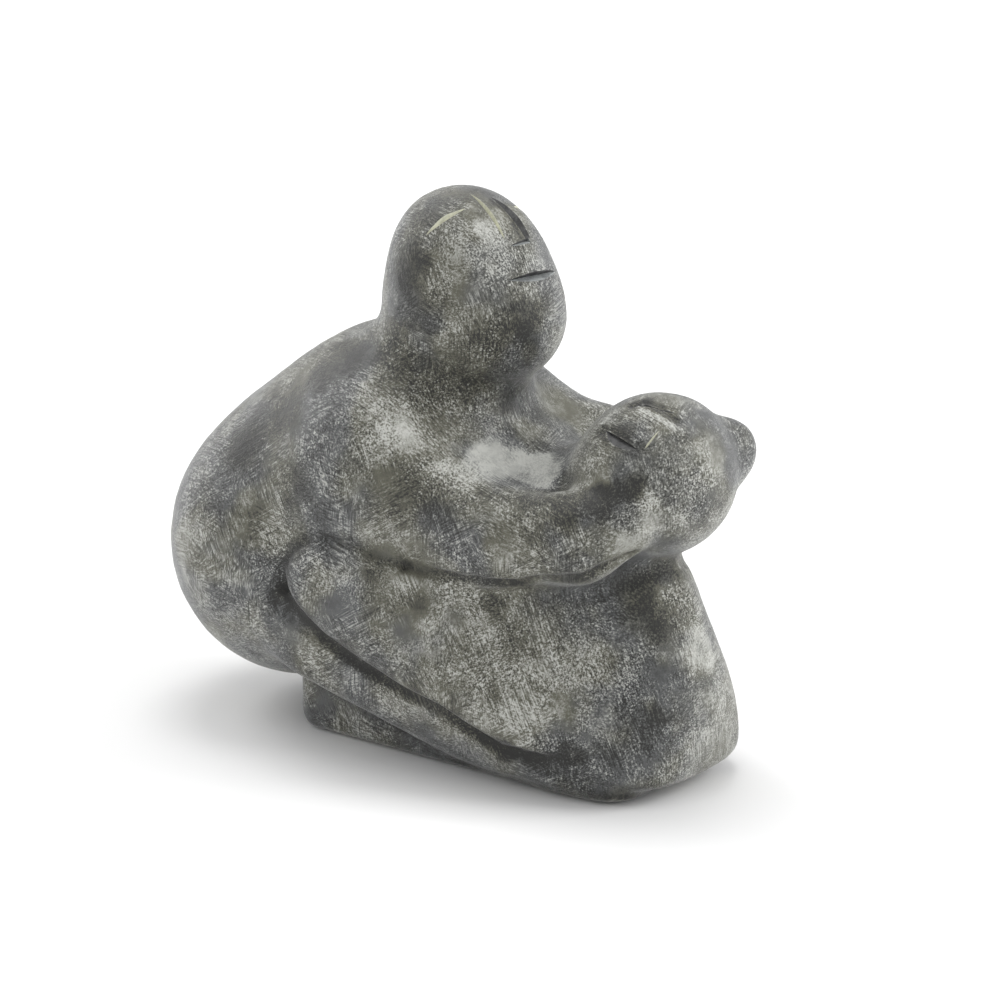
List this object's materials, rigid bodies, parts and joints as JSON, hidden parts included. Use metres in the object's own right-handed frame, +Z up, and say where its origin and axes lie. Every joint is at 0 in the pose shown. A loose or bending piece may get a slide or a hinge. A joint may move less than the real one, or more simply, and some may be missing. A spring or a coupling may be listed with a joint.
{
  "type": "stone mother and child sculpture",
  "caption": "Carved grey stone figure of a mother sitting folded over her knees and holding her child out in both hands, with slit eyes, a ridge nose and a flat underside.",
  "frame": {"origin": "on the floor, under the middle of the figure's outline", "axes": "+Z up; she faces -Y and her left side is +X"},
  "size_m": [0.0844, 0.1626, 0.1425],
  "materials": {
    "stone": "rubbed grey stone, mottled, with fine rasp marks"
  },
  "bodies": {
    "root": {"mother_and_child": "stone"}
  },
  "joints": []
}
